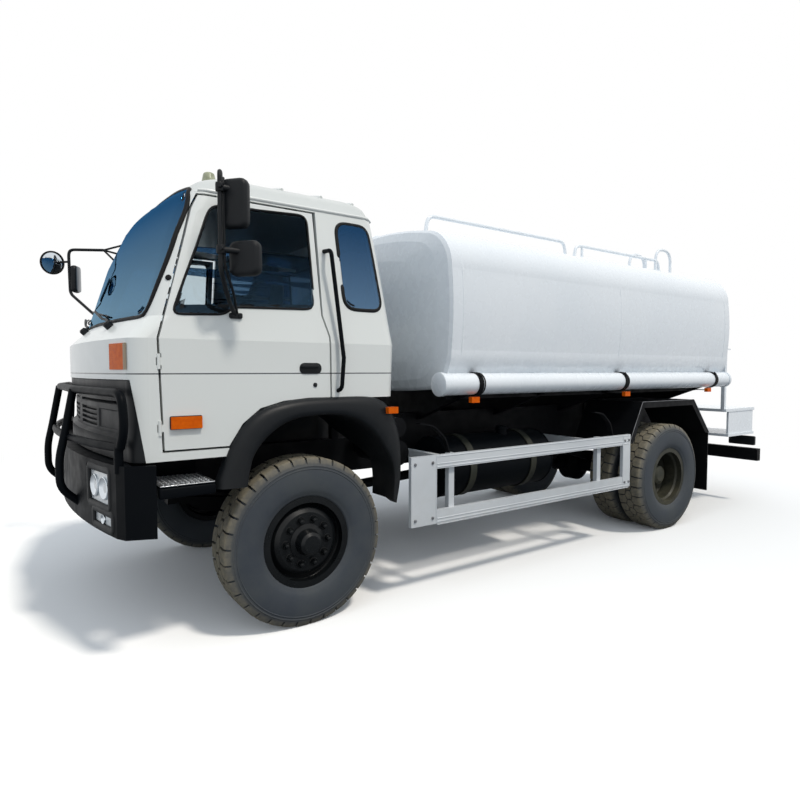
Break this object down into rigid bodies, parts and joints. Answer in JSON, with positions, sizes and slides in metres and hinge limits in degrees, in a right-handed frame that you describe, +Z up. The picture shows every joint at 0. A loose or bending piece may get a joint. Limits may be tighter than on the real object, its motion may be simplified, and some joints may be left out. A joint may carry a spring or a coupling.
{
  "type": "water tanker truck",
  "caption": "Cab-over four-wheel-drive tanker truck with a rounded white tank, bull bar, side guards, opening doors, steered front wheels and twin rear wheels.",
  "frame": {"origin": "on the ground below the middle of the truck's overall length and width", "axes": "+X forward along the truck, +Y to the driver's left, +Z up"},
  "size_m": [7.27, 2.8605, 2.976],
  "materials": {
    "cab_enamel": "semi-gloss off-white enamel",
    "tank_enamel": "gloss white enamel",
    "guard_enamel": "satin silver-white enamel",
    "black_enamel": "satin black enamel",
    "chassis_enamel": "flat black chassis paint",
    "olive_enamel": "dusty olive black enamel",
    "black_plastic": "grained black plastic",
    "dash_plastic": "grained dark grey plastic",
    "cast_metal": "oily painted casting",
    "radiator_alloy": "dusty finned core",
    "silencer_steel": "heat-dulled steel",
    "window_glass": "blue tinted safety glass",
    "lamp_lens": "fluted clear lens",
    "amber_lens": "moulded amber lens",
    "red_lens": "moulded red lens",
    "seat_fabric": "woven dark blue-grey cloth",
    "tyre_rubber": "dusty vulcanised rubber"
  },
  "bodies": {
    "chassis": {"cab_shell": "cab_enamel", "cab_roof": "cab_enamel", "cab_front_panel": "cab_enamel", "tank_body": "tank_enamel", "top_rails": "tank_enamel", "hose_tubes": "tank_enamel", "rear_platform": "tank_enamel", "side_guards": "guard_enamel", "bumper": "black_enamel", "bull_bar": "black_enamel", "entry_steps": "black_enamel", "grab_handles": "black_enamel", "fuel_tank": "black_enamel", "chassis_frame": "chassis_enamel", "tank_cradle": "chassis_enamel", "front_axle": "chassis_enamel", "rear_axle": "chassis_enamel", "leaf_springs": "chassis_enamel", "rear_mudguards": "chassis_enamel", "underrun_bar": "chassis_enamel", "air_tanks": "chassis_enamel", "battery_box": "chassis_enamel", "grille": "black_plastic", "front_mudguards": "black_plastic", "mirror_right": "black_plastic", "dashboard": "dash_plastic", "steering_wheel": "dash_plastic", "seat_bases": "dash_plastic", "cab_floor": "dash_plastic", "engine_block": "cast_metal", "driveline": "cast_metal", "radiator": "radiator_alloy", "exhaust": "silencer_steel", "cab_glass": "window_glass", "headlamps": "lamp_lens", "marker_lamps": "amber_lens", "roof_beacon": "amber_lens", "tail_lamps": "red_lens", "seats": "seat_fabric"},
    "knuckle_left": {"steering_knuckle_left": "chassis_enamel"},
    "knuckle_right": {"steering_knuckle_right": "chassis_enamel"},
    "front_wheel_left": {"front_rim_left": "black_enamel", "front_tyre_left": "tyre_rubber"},
    "front_wheel_right": {"front_rim_right": "black_enamel", "front_tyre_right": "tyre_rubber"},
    "rear_wheels_left": {"rear_rims_left": "olive_enamel", "rear_tyres_left": "tyre_rubber"},
    "rear_wheels_right": {"rear_rims_right": "olive_enamel", "rear_tyres_right": "tyre_rubber"},
    "door_left": {"door_left": "cab_enamel", "door_glass_left": "window_glass", "door_lamp_left": "amber_lens", "mirror_left": "black_plastic"},
    "door_right": {"door_right": "cab_enamel", "door_glass_right": "window_glass", "door_lamp_right": "amber_lens"},
    "tie_rod": {"tie_rod": "chassis_enamel"},
    "manhole_lid": {"manhole_lid": "tank_enamel"}
  },
  "joints": [
    {"name": "steer_left", "type": "hinge", "parent": "chassis", "child": "knuckle_left", "pos_m": [2.345, 0.81, 0.5275], "axis": [0, 0, 1], "range_deg": [-32, 32]},
    {"name": "steer_right", "type": "hinge", "parent": "chassis", "child": "knuckle_right", "pos_m": [2.345, -0.81, 0.5275], "axis": [0, 0, 1], "range_deg": [-32, 32]},
    {"name": "tie_rod_eye", "type": "hinge", "parent": "knuckle_left", "child": "tie_rod", "pos_m": [2.13, 0.81, 0.4255], "axis": [0, 0, 1], "range_deg": [-32, 32]},
    {"name": "front_wheel_left_spin", "type": "hinge", "parent": "knuckle_left", "child": "front_wheel_left", "pos_m": [2.345, 0.98, 0.5275], "axis": [0, 1, 0], "continuous": true},
    {"name": "front_wheel_right_spin", "type": "hinge", "parent": "knuckle_right", "child": "front_wheel_right", "pos_m": [2.345, -0.98, 0.5275], "axis": [0, 1, 0], "continuous": true},
    {"name": "rear_wheels_left_spin", "type": "hinge", "parent": "chassis", "child": "rear_wheels_left", "pos_m": [-1.605, 0.89, 0.5275], "axis": [0, 1, 0], "continuous": true},
    {"name": "rear_wheels_right_spin", "type": "hinge", "parent": "chassis", "child": "rear_wheels_right", "pos_m": [-1.605, -0.89, 0.5275], "axis": [0, 1, 0], "continuous": true},
    {"name": "door_left_hinge", "type": "hinge", "parent": "chassis", "child": "door_left", "pos_m": [3.212, 1.148, 1.5], "axis": [0, 0, -1], "range_deg": [0, 65]},
    {"name": "door_right_hinge", "type": "hinge", "parent": "chassis", "child": "door_right", "pos_m": [3.212, -1.148, 1.5], "axis": [0, 0, 1], "range_deg": [0, 65]},
    {"name": "manhole_lid_hinge", "type": "hinge", "parent": "chassis", "child": "manhole_lid", "pos_m": [-1.09, 0, 2.8033], "axis": [0, -1, 0], "range_deg": [0, 105]}
  ],
  "couplings": [
    {"joint": "steer_right", "follows": "steer_left", "ratio": 1},
    {"joint": "tie_rod_eye", "follows": "steer_left", "ratio": -1}
  ]
}
